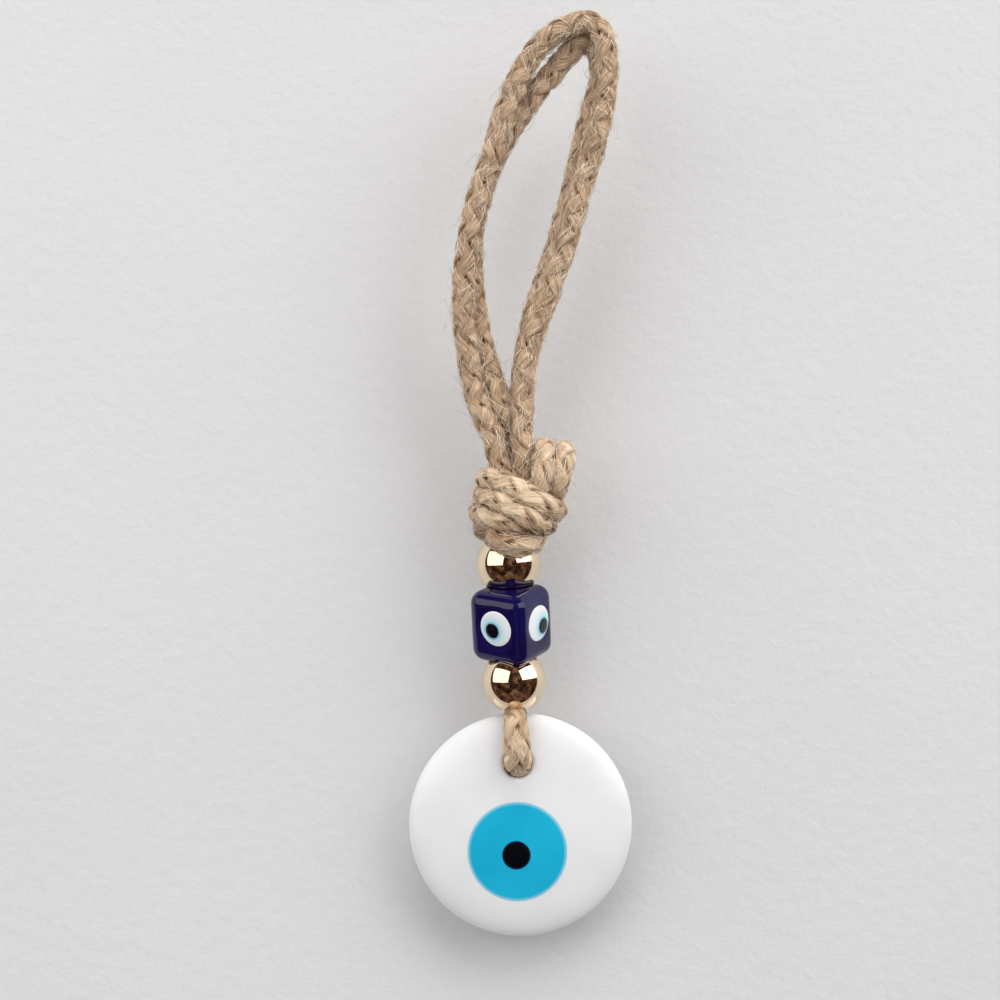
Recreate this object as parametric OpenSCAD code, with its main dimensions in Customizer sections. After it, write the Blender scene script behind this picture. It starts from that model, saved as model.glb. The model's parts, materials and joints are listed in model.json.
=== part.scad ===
// Hanging evil eye ornament: a flat glass eye on a doubled jute cord, with two
// metal beads, a cube bead with an eye on each side, a knot and a hanging loop.
// Origin at the point where a hook carries the loop, +Z up, the eye faces -Y.

/* [Disc] */
// Diameter of the flat eye
disc_d = 40.4; // [38:0.2:42]
// Thickness of the disc at its rim
disc_t = 5.5; // [5:0.1:5.6]
// How far the front swells out beyond the rim
disc_dome = 0.5; // [0.2:0.1:0.5]
// Diameter of the hole that the cord goes through
hole_d = 5.3; // [5.2:0.1:6]
// Distance from the middle of the disc to the hole
hole_offset = 11.3; // [11.2:0.1:12.4]
// Width of the bevel that breaks the hole's edges
hole_bevel = 0.85; // [0.7:0.05:1]

/* [Disc eye] */
// Diameter of the blue iris
iris_d = 18; // [14:0.5:19]
// Diameter of the black pupil
pupil_d = 5.3; // [4:0.1:7]
// How deep the iris glass goes
iris_t = 1.6; // [1:0.1:2.2]
// How deep the pupil glass goes into the iris
pupil_t = 0.9; // [0.5:0.1:0.9]
// How far the iris sits to the left of the disc's middle
iris_left = 0.8; // [0:0.1:1]
// How far the iris sits below the disc's middle
iris_down = 4.4; // [3.5:0.1:5]

/* [Beads] */
// Diameter of the metal beads
bead_d = 11.8; // [11.4:0.1:12]
// Diameter of the bore through the beads and the cube
bore_d = 6; // [5.8:0.1:6]
// Distance from the middle of the cube to the middle of each metal bead
bead_pitch = 10.6; // [10.4:0.1:10.8]

/* [Cube bead] */
// Width of the cube across its flats
cube_w = 11.4; // [11:0.1:11.8]
// Height of the cube along its bore
cube_h = 13; // [12.4:0.1:13.2]
// How far the cube's middle sits in front of the cord
cube_shift = 0.8; // [0.6:0.1:1]
// Radius of the cube's soft edges
cube_edge_r = 2.1; // [1.7:0.1:2.3]
// How far each side of the cube swells out at its middle
cube_crown = 0.25; // [0.2:0.05:0.4]
// How far the cube is turned on the cord
cube_turn = -35; // [-45:1:0]
// How far the cube's sides lean against its bore
cube_lean = 15; // [10:1:16]

/* [Cube eyes] */
// Diameter of the white dot on each side
eye_white_d = 6.5; // [5.6:0.1:6.7]
// Diameter of the light blue dot
eye_iris_d = 4.4; // [4:0.1:4.6]
// Diameter of the black dot
eye_pupil_d = 2.8; // [2.2:0.1:2.9]

/* [Cord] */
// Thickness of the braided jute cord
cord_d = 4; // [3.6:0.1:4]
// Thickness of the cord where it is squeezed through the disc
bight_d = 3.2; // [3:0.1:3.2]

/* [Hidden] */
// Names of all the sub-parts

$fn = 64;
// Gap between pieces that move past each other
gap = 0.15;
// Clearance around the cord in the bores
bore_play = 0.08;
// Tiny overshoot for cuts
eps = 0.01;

// The beads, cube and disc hang on one upright line
string_x = -18.7;
cube_z = -102.5;
bead_upper_z = cube_z + bead_pitch;
bead_lower_z = cube_z - bead_pitch;
bead_r = bead_d / 2;
bore_r = bore_d / 2;
core_r = bore_r - bore_play;
// Height of a bead's bore mouth above its middle
mouth_h = sqrt(bead_r * bead_r - bore_r * bore_r);

// The disc hangs just below the lower bead
disc_r = disc_d / 2;
rim_r = disc_t / 2;
disc_top_gap = 0.83;
disc_z = bead_lower_z - mouth_h - disc_top_gap - disc_r;
hole_z = disc_z + hole_offset;
hole_r = hole_d / 2;
disc_front = -rim_r - disc_dome;
// Straight steps that make up the front dome
dome_steps = 8;
iris_x = string_x - iris_left;
iris_z = disc_z - iris_down;

// The core cord stops inside the lower bead, and the bight turns below it
turn_z = bead_lower_z - 3.95;
// The bight's limbs stand clear of the rim on both faces
bight_r = bight_d / 2;
limb_y = rim_r + 0.65 + bight_r;
rim_z = disc_z + disc_r - rim_r;
bend_r = 1.2 + bight_r;
bight_z = hole_z + hole_r - gap - bight_r;
bend_z = bight_z + bend_r;

// The knot turns against the loop about the middle of its neck
neck = [-17.4, 0, -75];
neck_r = 5.5;
knot_middle = [-16.6, -0.8, -81];
knot_r = 7.8;
knot_socket_z = -85;

// Sides of the swept cord
sides = 8;

// Routes of the two cords of the loop, from the knot's left over the top and back
outer_route = [
    [-20.5, -2.0, -69.3], [-21.4, -1.4, -67.0], [-22.9, -0.9, -62.3], [-23.9, -1.2, -57.2],
    [-24.4, -1.5, -52.0], [-24.7, -1.6, -47.0], [-24.5, -1.8, -42.0], [-23.9, -1.9, -37.0],
    [-22.9, -2.0, -32.0], [-21.6, -2.0, -27.0], [-19.8, -2.0, -22.0], [-17.8, -2.0, -17.0],
    [-15.8, -1.8, -12.0], [-13.4, -1.7, -7.0], [-11.8, -1.6, -4.4], [-9.9, -1.5, -1.5],
    [-7.8, -1.4, 1.2], [-4.9, -1.3, 3.7], [-1.2, -1.3, 5.2], [1.4, -1.5, 4.6],
    [2.8, -1.9, 2.2], [3.1, -2.0, -1.4], [3.0, -2.0, -5.0], [2.3, -1.9, -10.0],
    [0.9, -1.8, -15.0], [-0.7, -1.8, -20.0], [-2.6, -1.9, -25.0], [-4.2, -1.9, -30.0],
    [-5.8, -1.9, -35.0], [-7.9, -1.9, -40.0], [-9.8, -1.9, -45.0], [-12.0, -2.0, -50.0],
    [-13.7, -2.0, -55.0], [-14.5, -2.0, -60.0], [-15.0, -2.0, -65.0], [-15.3, -2.0, -69.3]
];
inner_route = [
    [-18.8, 2.0, -68.8], [-18.6, 1.4, -66.7], [-19.2, 0.9, -62.5], [-20.6, 1.2, -57.3],
    [-21.7, 1.5, -52.0], [-22.3, 1.6, -47.0], [-22.8, 1.8, -42.0], [-22.9, 1.9, -37.0],
    [-22.6, 2.0, -32.0], [-21.4, 2.0, -27.0], [-19.4, 2.0, -22.0], [-17.0, 2.0, -17.0],
    [-14.2, 1.8, -12.0], [-10.7, 1.7, -7.0], [-8.7, 1.6, -4.5], [-6.5, 1.5, -2.1],
    [-4.0, 1.4, 0.4], [-1.4, 1.3, 2.0], [0.8, 1.5, 2.0], [2.0, 1.9, -0.3],
    [2.3, 2.0, -2.8], [1.9, 2.0, -5.7], [0.4, 1.9, -10.0], [-1.2, 1.8, -15.0],
    [-2.6, 1.8, -20.0], [-4.0, 1.9, -25.0], [-5.7, 1.9, -30.0], [-7.4, 1.9, -35.0],
    [-9.4, 1.9, -40.0], [-11.3, 1.9, -45.0], [-12.8, 2.0, -50.0], [-13.9, 2.0, -55.0],
    [-14.4, 2.0, -60.0], [-14.6, 2.0, -65.0], [-14.7, 2.0, -69.3]
];

// Where each cube eye sits on its own side, across and up
eye_place = [[0.55, 0.6], [0.4, 0.6], [-0.3, -0.5], [0.2, -0.3]];
// Where each black dot sits in its eye
pupil_place = [[-0.6, -0.4], [1.0, -0.7], [0.4, -0.3], [-0.4, 0.3]];
// How deep each dot of glass goes, and how far the eye stands out
eye_depth = [1.0, 0.75, 0.5];
eye_proud = 0.12;

jute = [0.72, 0.62, 0.50];
gold = [0.80, 0.72, 0.55];
navy = [0.05, 0.06, 0.25];
sky = [0.12, 0.67, 0.82];
pale_blue = [0.62, 0.82, 0.90];

function unit(v) = v / norm(v);

function tangent(route, i) =
    unit(route[min(i + 1, len(route) - 1)] - route[max(i - 1, 0)]);

function ring(route, i, r) =
    let (t = tangent(route, i), s = unit(cross(t, [0, 1, 0])), u = cross(s, t))
    [for (k = [0:sides - 1]) route[i] + r * cos(360 * k / sides) * s + r * sin(360 * k / sides) * u];

// A cord swept along its route, closed at both ends
module swept_cord(route, r) {
    last = len(route) - 1;
    points = [for (i = [0:last]) each ring(route, i, r)];
    start_cap = [[for (k = [0:sides - 1]) k]];
    end_cap = [[for (k = [0:sides - 1]) last * sides + sides - 1 - k]];
    walls = [
        for (i = [0:last - 1], k = [0:sides - 1])
            let (a = i * sides + k, b = i * sides + (k + 1) % sides)
            each [[a, a + sides, b], [b, a + sides, b + sides]]
    ];
    polyhedron(points = points, faces = concat(start_cap, end_cap, walls));
}

// A round-ended bar from one point to another, as one turned solid
module round_bar(from, to, r) {
    span = to - from;
    long = norm(span);
    translate(from)
        rotate([0, acos(span.z / long), atan2(span.y, span.x)])
            rotate_extrude()
                intersection() {
                    union() {
                        circle(r);
                        translate([0, long]) circle(r);
                        translate([-r, 0]) square([2 * r, long]);
                    }
                    translate([0, -r]) square([r, long + 2 * r]);
                }
}

module loop_cord_outer() {
    color(jute) swept_cord(outer_route, cord_d / 2 - eps);
}

module loop_cord_inner() {
    color(jute) swept_cord(inner_route, cord_d / 2 - eps);
}

// The knot: its round neck, its body and the wraps that bulge from it
module knot() {
    color(jute) difference() {
        union() {
            translate(neck) sphere(neck_r);
            translate(knot_middle) sphere(knot_r);
            round_bar([-9.2, -4.2, -75.6], [-9.0, 3.0, -76.0], 3.5);
            round_bar([-20.5, -5.4, -77.8], [-9.6, -5.6, -83.2], 2.7);
            round_bar([-21.8, -3.0, -82.4], [-21.6, 3.0, -82.6], 3.4);
            round_bar([-20.6, -5.6, -87.6], [-14.0, -6.0, -88.0], 1.9);
        }
        translate([string_x, 0, bead_upper_z]) sphere(bead_r + 2 * gap);
        translate([string_x, 0, bead_upper_z]) cylinder(r = core_r, h = knot_socket_z - bead_upper_z);
    }
}

// One of the two limbs that fill the bores side by side
module core_half(side) {
    core_h = knot_socket_z - turn_z;
    translate([string_x, 0, turn_z])
        intersection() {
            cylinder(r = core_r, h = core_h);
            translate([-bore_r, side < 0 ? -bore_r : 0, -eps])
                cube([bore_d, bore_r, core_h + 2 * eps]);
        }
}

module core_cord_front() {
    color(jute) core_half(-1);
}

module core_cord_back() {
    color(jute) core_half(1);
}

module metal_bead(height) {
    color(gold) translate([string_x, 0, height])
        difference() {
            sphere(bead_r);
            cylinder(r = bore_r, h = bead_d + 2, center = true);
        }
}

module bead_upper() {
    metal_bead(bead_upper_z);
}

module bead_lower() {
    metal_bead(bead_lower_z);
}

// Puts its children at the cube's middle, turned and leaning as the cube is
module at_cube() {
    translate([string_x, -cube_shift, cube_z])
        rotate([cube_lean, 0, 0])
            rotate([0, 0, cube_turn])
                children();
}

// The cube's pillow shape, with crowned sides and soft edges, grown by some amount
module pillow(grow) {
    side = cube_w / 2 - cube_edge_r;
    top = cube_h / 2 - cube_edge_r;
    swell = cube_edge_r + cube_crown + grow;
    hull() {
        for (x = [-side, side], y = [-side, side], z = [-top, top])
            translate([x, y, z]) sphere(cube_edge_r + grow, $fn = 16);
        scale([side + swell, side, top]) sphere(1, $fn = 18);
        scale([side, side + swell, top]) sphere(1, $fn = 18);
        scale([side, side, top + swell]) sphere(1, $fn = 18);
    }
}

// A straight core through one side of the cube, where a dot of glass goes
module dot_core(side, place, d, depth) {
    rotate([0, 0, 90 * (side - 1)])
        translate([place.x, -cube_w / 2 + depth, place.y])
            rotate([90, 0, 0])
                cylinder(r = d / 2, h = depth + 1);
}

module white_core(side) {
    dot_core(side, eye_place[side - 1], eye_white_d, eye_depth[0]);
}

module iris_core(side) {
    dot_core(side, eye_place[side - 1] + pupil_place[side - 1] / 2, eye_iris_d, eye_depth[1]);
}

module pupil_core(side) {
    dot_core(side, eye_place[side - 1] + pupil_place[side - 1], eye_pupil_d, eye_depth[2]);
}

module cube_body() {
    color(navy) difference() {
        at_cube() pillow(0);
        at_cube() for (side = [1:4]) white_core(side);
        translate([string_x, 0, cube_z]) cylinder(r = bore_r, h = 2 * cube_w, center = true);
        for (height = [bead_upper_z, bead_lower_z])
            translate([string_x, 0, height]) sphere(bead_r + gap);
    }
}

module cube_eye_white(side) {
    color("white") at_cube() difference() {
        intersection() {
            pillow(eye_proud);
            white_core(side);
        }
        iris_core(side);
    }
}

module cube_eye_iris(side) {
    color(pale_blue) at_cube() difference() {
        intersection() {
            pillow(eye_proud);
            iris_core(side);
        }
        pupil_core(side);
    }
}

module cube_eye_pupil(side) {
    color("black") at_cube() intersection() {
        pillow(eye_proud);
        pupil_core(side);
    }
}

// One limb of the bight, down one face of the disc and round into the hole
module bight_limb() {
    translate([0, limb_y, bend_z]) cylinder(r = bight_r, h = rim_z - bend_z);
    translate([0, limb_y - bend_r, bend_z])
        rotate([0, 90, 0])
            rotate_extrude(angle = 90) translate([bend_r, 0]) circle(bight_r);
}

// The doubled cord below the beads, round the rim on both faces and through the hole
module bight_cord() {
    color(jute) translate([string_x, 0, 0])
        difference() {
            union() {
                bight_limb();
                mirror([0, 1, 0]) bight_limb();
                translate([0, 0, rim_z])
                    rotate([90, 0, 90])
                        rotate_extrude(angle = 180) translate([limb_y, 0]) circle(bight_r);
                translate([0, 0, bight_z])
                    rotate([90, 0, 0])
                        cylinder(r = bight_r, h = 2 * (limb_y - bend_r), center = true);
                translate([0, 0, bead_lower_z - mouth_h - gap])
                    cylinder(r = core_r, h = turn_z - bead_lower_z + mouth_h);
            }
            translate([0, 0, turn_z - 2 * gap]) cylinder(r = bead_r, h = bead_r);
            difference() {
                translate([0, 0, bead_lower_z]) sphere(bead_r + gap);
                translate([0, 0, bead_lower_z - bead_d]) cylinder(r = core_r, h = bead_d);
            }
        }
}

// The whole disc before it is cut: a flat core, a round rim and a shallow dome in front
module disc_blank() {
    flat_r = disc_r - rim_r;
    dome = [
        for (i = [0:dome_steps])
            let (r = flat_r * (1 - i / dome_steps))
            [r, -rim_r - disc_dome * (1 - pow(r / flat_r, 2))]
    ];
    translate([string_x, 0, disc_z])
        rotate([-90, 0, 0]) {
            cylinder(r = flat_r, h = disc_t, center = true, $fn = 120);
            rotate_extrude($fn = 120) translate([flat_r, 0]) circle(rim_r);
            rotate_extrude($fn = 120) polygon(concat([[0, 0], [flat_r, 0]], dome));
        }
}

// A straight core from the front of the disc, down to some depth
module front_core(x, z, d, depth) {
    translate([x, disc_front + depth, z])
        rotate([90, 0, 0])
            cylinder(r = d / 2, h = depth + 1, $fn = 120);
}

module iris_core_disc() {
    front_core(iris_x, iris_z, iris_d, iris_t);
}

module pupil_core_disc() {
    front_core(iris_x - 0.2, iris_z - 0.6, pupil_d, pupil_t);
}

module cord_hole() {
    translate([string_x, 0, hole_z]) rotate([90, 0, 0]) {
        cylinder(r = hole_r, h = 3 * disc_t, center = true);
        translate([0, 0, rim_r + 0.3 - hole_bevel])
            cylinder(r1 = hole_r, r2 = hole_r + 2 * hole_bevel, h = 2 * hole_bevel);
        translate([0, 0, -rim_r - hole_bevel])
            cylinder(r1 = hole_r + 2 * hole_bevel, r2 = hole_r, h = 2 * hole_bevel);
    }
}

module disc_body() {
    color("white") difference() {
        disc_blank();
        cord_hole();
        iris_core_disc();
    }
}

module disc_iris() {
    color(sky) difference() {
        intersection() {
            disc_blank();
            iris_core_disc();
        }
        pupil_core_disc();
    }
}

module disc_pupil() {
    color("black") intersection() {
        disc_blank();
        pupil_core_disc();
    }
}

loop_cord_outer();
loop_cord_inner();
knot();
core_cord_front();
core_cord_back();
bead_upper();
bead_lower();
cube_body();
for (side = [1:4]) {
    cube_eye_white(side);
    cube_eye_iris(side);
    cube_eye_pupil(side);
}
bight_cord();
disc_body();
disc_iris();
disc_pupil();
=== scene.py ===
"""Looks of the hanging evil eye ornament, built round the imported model.

Lengths are metres in the model's own frame: +Z up, the eye faces -Y, and the
origin is where a hook carries the loop.
"""
import json
import math

import bmesh
import bpy
import numpy as np
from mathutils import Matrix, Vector


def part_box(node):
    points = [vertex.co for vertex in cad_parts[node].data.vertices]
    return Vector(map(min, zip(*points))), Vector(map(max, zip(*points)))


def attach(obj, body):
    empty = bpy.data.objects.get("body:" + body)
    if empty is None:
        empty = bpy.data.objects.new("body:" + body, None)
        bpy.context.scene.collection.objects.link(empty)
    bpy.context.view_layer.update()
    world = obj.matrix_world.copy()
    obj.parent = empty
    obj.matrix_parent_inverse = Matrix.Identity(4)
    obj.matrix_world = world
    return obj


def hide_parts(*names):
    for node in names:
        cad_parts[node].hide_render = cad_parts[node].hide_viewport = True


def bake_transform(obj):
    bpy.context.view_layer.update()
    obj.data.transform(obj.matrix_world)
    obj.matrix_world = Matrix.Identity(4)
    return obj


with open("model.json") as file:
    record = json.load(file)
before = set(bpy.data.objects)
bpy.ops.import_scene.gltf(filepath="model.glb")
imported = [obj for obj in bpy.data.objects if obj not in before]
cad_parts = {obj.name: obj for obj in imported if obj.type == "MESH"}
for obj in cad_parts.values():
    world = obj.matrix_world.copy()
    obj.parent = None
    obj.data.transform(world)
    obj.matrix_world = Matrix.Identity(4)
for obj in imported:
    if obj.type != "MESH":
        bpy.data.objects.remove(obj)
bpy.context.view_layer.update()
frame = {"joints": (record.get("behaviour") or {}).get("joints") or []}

MM = 0.001
rng = np.random.default_rng(7)


# ---------------------------------------------------------------- places from the frame

def middle(node):
    """The middle of a CAD node's box."""
    low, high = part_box(node)
    return (low + high) / 2


def joint(name):
    """What the frame says of one joint."""
    return next(j for j in frame["joints"] if j["name"] == name)


UPPER = middle("bead_upper")
LOWER = middle("bead_lower")
STRING_X = UPPER.x
BEAD_LOW, BEAD_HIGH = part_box("bead_upper")
BEAD_R = (BEAD_HIGH.y - BEAD_LOW.y) / 2
CORE_LOW, CORE_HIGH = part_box("core_cord_front")
CORE_R = (CORE_HIGH.x - CORE_LOW.x) / 2
BORE_R = CORE_R + 0.08 * MM
DISC_LOW, DISC_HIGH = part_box("disc_body")
DISC = Vector(((DISC_LOW.x + DISC_HIGH.x) / 2, 0, (DISC_LOW.z + DISC_HIGH.z) / 2))
DISC_R = (DISC_HIGH.x - DISC_LOW.x) / 2
DISC_BACK = DISC_HIGH.y
DISC_FRONT = DISC_LOW.y
HOLE = Vector(joint("disc_swing")["pos_m"])
CUBE = Vector(joint("cube_spin")["pos_m"])

CORD_D = 4.0 * MM


# ---------------------------------------------------------------- camera

# VIEW_SPAN is how much the view takes in, from side to side, where the ornament hangs
VIEW_SPAN = 181.4 * MM
CAMERA_AWAY = 340 * MM
CAMERA_ROLL = math.radians(2.65)
CAMERA_X = -19.7 * MM
CAMERA_Z = -80.3 * MM
SENSOR_WIDTH = 36


def add_camera():
    """Looks at the ornament level and from the front."""
    data = bpy.data.cameras.new("camera")
    data.sensor_width = SENSOR_WIDTH
    data.lens = SENSOR_WIDTH * CAMERA_AWAY / VIEW_SPAN
    data.clip_start = 0.01
    data.clip_end = 20
    camera = bpy.data.objects.new("camera", data)
    camera.location = (CAMERA_X, -CAMERA_AWAY, CAMERA_Z)
    camera.rotation_euler = (math.pi / 2, CAMERA_ROLL, 0)
    bpy.context.scene.collection.objects.link(camera)
    bpy.context.scene.camera = camera


add_camera()
bpy.context.scene.view_settings.view_transform = "Standard"


# ---------------------------------------------------------------- materials

class Nodes:
    """Short ways to add to a node tree."""

    def __init__(self, tree):
        self.tree = tree

    def node(self, kind, **values):
        """A new node with its settings and the values of its sockets."""
        made = self.tree.nodes.new(kind)
        for name, value in values.items():
            if hasattr(made, name):
                setattr(made, name, value)
            else:
                made.inputs[name.replace("_", " ")].default_value = value
        return made

    def link(self, out, into):
        self.tree.links.new(out, into)

    def coords(self, scale=(1, 1, 1), kind="Object"):
        """Coordinates of the object, in metres, of its UV map or of the world, times a scale."""
        source = self.node("ShaderNodeTexCoord")
        mapping = self.node("ShaderNodeMapping")
        mapping.inputs["Scale"].default_value = scale
        self.link(source.outputs[kind], mapping.inputs["Vector"])
        return mapping.outputs["Vector"]

    def noise(self, coords, scale, detail=3, rough=0.55):
        """The value of a noise pattern."""
        made = self.node("ShaderNodeTexNoise", Scale=scale, Detail=detail, Roughness=rough)
        self.link(coords, made.inputs["Vector"])
        return made.outputs["Fac"]

    def ramp(self, value, *stops):
        """Colours by a value, from (place, colour) stops."""
        made = self.node("ShaderNodeValToRGB")
        ends = made.color_ramp.elements
        while len(ends) < len(stops):
            ends.new(0.5)
        for end, (place, colour) in zip(ends, stops):
            end.position = place
            end.color = (*colour, 1)
        self.link(value, made.inputs["Fac"])
        return made.outputs["Color"]

    def mix(self, factor, a, b, mode="MIX"):
        """Two colours mixed; each of the three is a socket or a plain value."""
        made = self.node("ShaderNodeMix", data_type="RGBA", blend_type=mode)
        for value, socket in ((factor, made.inputs[0]), (a, made.inputs[6]), (b, made.inputs[7])):
            if isinstance(value, bpy.types.NodeSocket):
                self.link(value, socket)
            elif isinstance(value, tuple):
                socket.default_value = (*value, 1)
            else:
                socket.default_value = value
        return made.outputs[2]

    def maths(self, kind, a, b):
        """One sum of two sockets or plain values."""
        made = self.node("ShaderNodeMath", operation=kind)
        for value, socket in ((a, made.inputs[0]), (b, made.inputs[1])):
            if isinstance(value, bpy.types.NodeSocket):
                self.link(value, socket)
            else:
                socket.default_value = value
        return made.outputs[0]


class Paint(Nodes):
    """A material's node tree and its main shader."""

    def __init__(self, name):
        self.material = bpy.data.materials.new(name)
        self.material.use_nodes = True
        super().__init__(self.material.node_tree)
        self.shader = self.tree.nodes["Principled BSDF"]

    def set(self, **values):
        """Values for the shader's own sockets."""
        for name, value in values.items():
            self.shader.inputs[name.replace("_", " ")].default_value = value

    def bump(self, height, distance, strength=1.0):
        """Makes the surface look raised where the height is high."""
        made = self.node("ShaderNodeBump", Strength=strength, Distance=distance)
        self.link(height, made.inputs["Height"])
        self.link(made.outputs["Normal"], self.shader.inputs["Normal"])

    def colour(self, socket):
        self.link(socket, self.shader.inputs["Base Color"])


def jute_material(name, light, mid, dark):
    """Bundles of plant fibre: lines along each strand, patchy tone, and brown painted shade in the gaps
    and on the flanks, by the mesh's depth value.
    """
    paint = Paint(name)
    paint.set(Roughness=0.78, Specular_IOR_Level=0.15, Sheen_Weight=0.12, Sheen_Roughness=0.5)
    fine = paint.noise(paint.coords((8.0, 0.34, 1), "UV"), 1.0, 4, 0.65)
    coarse = paint.noise(paint.coords((3.0, 0.28, 1), "UV"), 1.0, 3, 0.6)
    broad = paint.noise(paint.coords((0.7, 0.16, 1), "UV"), 1.0, 2)
    patch = paint.noise(paint.coords(), 130, 3)
    both = paint.mix(0.45, coarse, fine)
    lines = paint.ramp(both, (0.33, dark), (0.48, mid), (0.66, light))
    tone = paint.ramp(broad, (0.32, (0.78, 0.73, 0.66)), (0.68, (1.16, 1.16, 1.15)))
    toned = paint.mix(1.0, lines, tone, "MULTIPLY")
    blotch = paint.ramp(patch, (0.36, (0.84, 0.81, 0.77)), (0.64, (1.08, 1.08, 1.07)))
    blotched = paint.mix(1.0, toned, blotch, "MULTIPLY")
    # Painted shade: the mesh's depth value darkens the fibre where it lies deep in the cord, between
    # strands and in creases
    depth = paint.node("ShaderNodeAttribute", attribute_name="depth")
    shade = paint.ramp(depth.outputs["Fac"],
                       (0.0, (0.33, 0.235, 0.165)), (0.5, (0.80, 0.74, 0.675)), (1.0, (1, 1, 1)))
    paint.colour(paint.mix(1.0, blotched, shade, "MULTIPLY"))
    height = paint.maths("ADD", paint.maths("MULTIPLY", fine, 0.5), coarse)
    paint.bump(height, 0.28 * MM)
    return paint.material


def fibre_material():
    """Single hairs of jute, some pale and some brown."""
    paint = Paint("loose_fibre")
    paint.set(Roughness=0.6, Specular_IOR_Level=0.3)
    patch = paint.noise(paint.coords(), 400, 2)
    paint.colour(paint.ramp(patch, (0.35, (0.46, 0.34, 0.23)), (0.55, (0.97, 0.86, 0.70))))
    return paint.material


def gold_material():
    """Pale gold plating, polished, a little uneven in tone and surface."""
    paint = Paint("pale_gold")
    paint.set(Metallic=1.0, Roughness=0.045)
    patch = paint.noise(paint.coords(), 260, 3)
    paint.colour(paint.ramp(patch, (0.35, (0.88, 0.73, 0.52)), (0.65, (0.93, 0.78, 0.57))))
    paint.bump(paint.noise(paint.coords(), 420, 2), 0.02 * MM, 0.25)
    return paint.material


def glass_material(name, low, high, roughness, wave, subsurface=0.0, rim=None, rim_start=1.0):
    """Opaque cast glass: a faint drift of colour, a polished and slightly wavy surface.

    An inlay melts into its rim colour where the mesh's "rim" value goes from rim_start to 1.
    """
    paint = Paint(name)
    paint.set(Roughness=roughness, IOR=1.5)
    if subsurface:
        paint.set(Subsurface_Weight=subsurface, Subsurface_Scale=1.5 * MM,
                  Subsurface_Radius=(1.0, 0.95, 0.9))
    drift = paint.noise(paint.coords(), 120, 2)
    body = paint.ramp(drift, (0.3, low), (0.7, high))
    if rim:
        share = paint.node("ShaderNodeAttribute", attribute_name="rim")
        melt = paint.ramp(share.outputs["Fac"], (rim_start, (0, 0, 0)), (1.0, (1, 1, 1)))
        body = paint.mix(melt, body, rim)
    paint.colour(body)
    paint.bump(paint.noise(paint.coords(), wave, 2), 0.05 * MM, 0.3)
    return paint.material


def eye_white_material():
    """White glass that turns pale blue towards the black dot, from the mesh's own tint."""
    paint = Paint("eye_white_glass")
    paint.set(Roughness=0.12, IOR=1.5)
    tint = paint.node("ShaderNodeAttribute", attribute_name="tint")
    speckle = paint.maths("MULTIPLY", paint.noise(paint.coords(), 900, 2), 0.16)
    blur = paint.maths("ADD", tint.outputs["Fac"], speckle)
    paint.colour(paint.ramp(
        blur, (0.10, (0.86, 0.88, 0.90)), (0.55, (0.55, 0.78, 0.84)), (1.0, (0.22, 0.52, 0.68))))
    return paint.material


def table_material():
    """Matt pale paint; clear from behind, so that it doesn't hide the ornament's back."""
    paint = Paint("pale_table")
    paint.set(Roughness=0.55, Specular_IOR_Level=0.25)
    grain = paint.noise(paint.coords(), 420, 4, 0.6)
    drift = paint.noise(paint.coords(), 9, 2)
    paint.colour(paint.ramp(drift, (0.3, (0.640, 0.637, 0.640)), (0.7, (0.670, 0.667, 0.670))))
    paint.bump(grain, 0.35 * MM, 0.5)
    hidden = paint.node("ShaderNodeBsdfTransparent")
    sides = paint.node("ShaderNodeMixShader")
    geometry = paint.node("ShaderNodeNewGeometry")
    output = paint.tree.nodes["Material Output"]
    paint.link(geometry.outputs["Backfacing"], sides.inputs[0])
    paint.link(paint.shader.outputs[0], sides.inputs[1])
    paint.link(hidden.outputs[0], sides.inputs[2])
    paint.link(sides.outputs[0], output.inputs["Surface"])
    return paint.material


JUTE = jute_material("jute", (0.99, 0.83, 0.63), (0.76, 0.575, 0.41), (0.30, 0.19, 0.11))
# The loop's runs take a darker, browner copy of the knot's jute: painted shade, as the knot faces the
# light more
LOOP_JUTE = jute_material("loop_jute", (0.96, 0.76, 0.57), (0.54, 0.378, 0.255), (0.17, 0.10, 0.055))
FIBRE = fibre_material()
GOLD = gold_material()
NAVY = glass_material("navy_glass", (0.004, 0.002, 0.040), (0.007, 0.005, 0.085), 0.10, 260)
WHITE = glass_material("white_glass", (0.78, 0.78, 0.785), (0.82, 0.82, 0.825), 0.24, 90, 0.12)
BLUE = glass_material("blue_glass", (0.006, 0.40, 0.63), (0.010, 0.46, 0.70), 0.20, 90,
                      rim=(0.38, 0.66, 0.76), rim_start=0.93)
BLACK = glass_material("black_glass", (0.001, 0.002, 0.004), (0.002, 0.003, 0.006), 0.12, 200,
                       rim=(0.004, 0.05, 0.12), rim_start=0.84)
EYE_WHITE = eye_white_material()
PALE_BLUE = glass_material("pale_blue_glass", (0.20, 0.50, 0.66), (0.30, 0.60, 0.74), 0.10, 300)


# ---------------------------------------------------------------- mesh helpers

def place(name, mesh):
    """Puts a mesh in the scene as an object."""
    made = bpy.data.objects.new(name, mesh)
    bpy.context.scene.collection.objects.link(made)
    return made


def make_object(name, points, faces, material, smooth=True):
    """An object from its points and faces."""
    mesh = bpy.data.meshes.new(name)
    mesh.from_pydata([tuple(p) for p in points], [], faces)
    mesh.materials.append(material)
    mesh.polygons.foreach_set("use_smooth", [smooth] * len(mesh.polygons))
    mesh.update()
    return place(name, mesh)


def from_bmesh(name, bm):
    """An object from a bmesh, which it uses up."""
    mesh = bpy.data.meshes.new(name)
    bm.to_mesh(mesh)
    bm.free()
    return place(name, mesh)


def shade_smooth(made):
    """Smooth shading on every face."""
    made.data.polygons.foreach_set("use_smooth", [True] * len(made.data.polygons))


def fix_normals(made):
    """Turns every face to look outwards."""
    bm = bmesh.new()
    bm.from_mesh(made.data)
    bmesh.ops.recalc_face_normals(bm, faces=bm.faces)
    bm.to_mesh(made.data)
    bm.free()


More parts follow.
